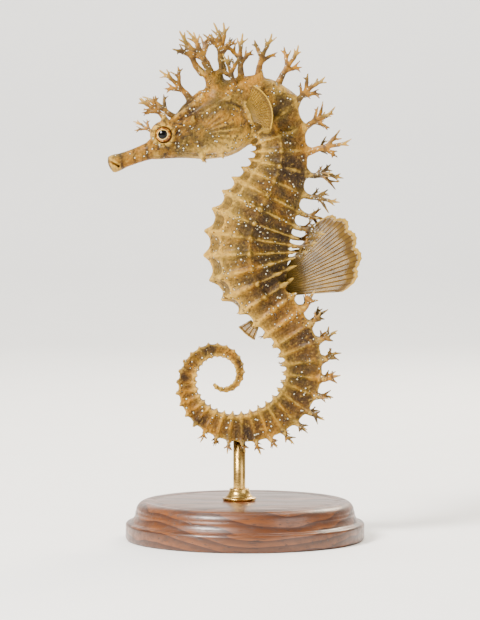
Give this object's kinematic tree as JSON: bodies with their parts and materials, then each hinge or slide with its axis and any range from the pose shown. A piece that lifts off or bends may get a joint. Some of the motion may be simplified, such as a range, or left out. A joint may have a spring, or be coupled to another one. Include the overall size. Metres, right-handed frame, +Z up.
{
  "type": "spiny seahorse on a display stand",
  "caption": "Life-size spiny seahorse with a maned head, ringed trunk, fanned dorsal fin and forward-coiled tail, held upright by a short rod on a round base.",
  "frame": {"origin": "middle of the flat underside of the display stand's base", "axes": "+Z up; the animal looks along -X, with its left side towards -Y and its back towards +X"},
  "size_m": [0.0666, 0.062, 0.1338],
  "materials": {
    "skin": "moist mottled fish skin over bony rings",
    "fin": "thin rayed fin skin",
    "eye": "wet eyeball",
    "wood": "dark polished wood",
    "brass": "polished"
  },
  "bodies": {
    "root": {"head": "skin", "snout": "skin", "coronet": "skin", "eye_left": "eye", "eye_right": "eye", "neck": "skin", "trunk_upper": "skin", "trunk_lower": "skin", "tail_base": "skin", "tail_outer_bend": "skin", "tail_underside": "skin", "tail_rise": "skin", "tail_arch": "skin", "tail_inner_turn": "skin", "tail_tip": "skin", "dorsal_fin": "fin", "pectoral_fin_left": "fin", "pectoral_fin_right": "fin", "anal_fin": "fin", "stand_base": "wood", "stand_rod": "brass", "stand_collar": "brass"}
  },
  "joints": []
}
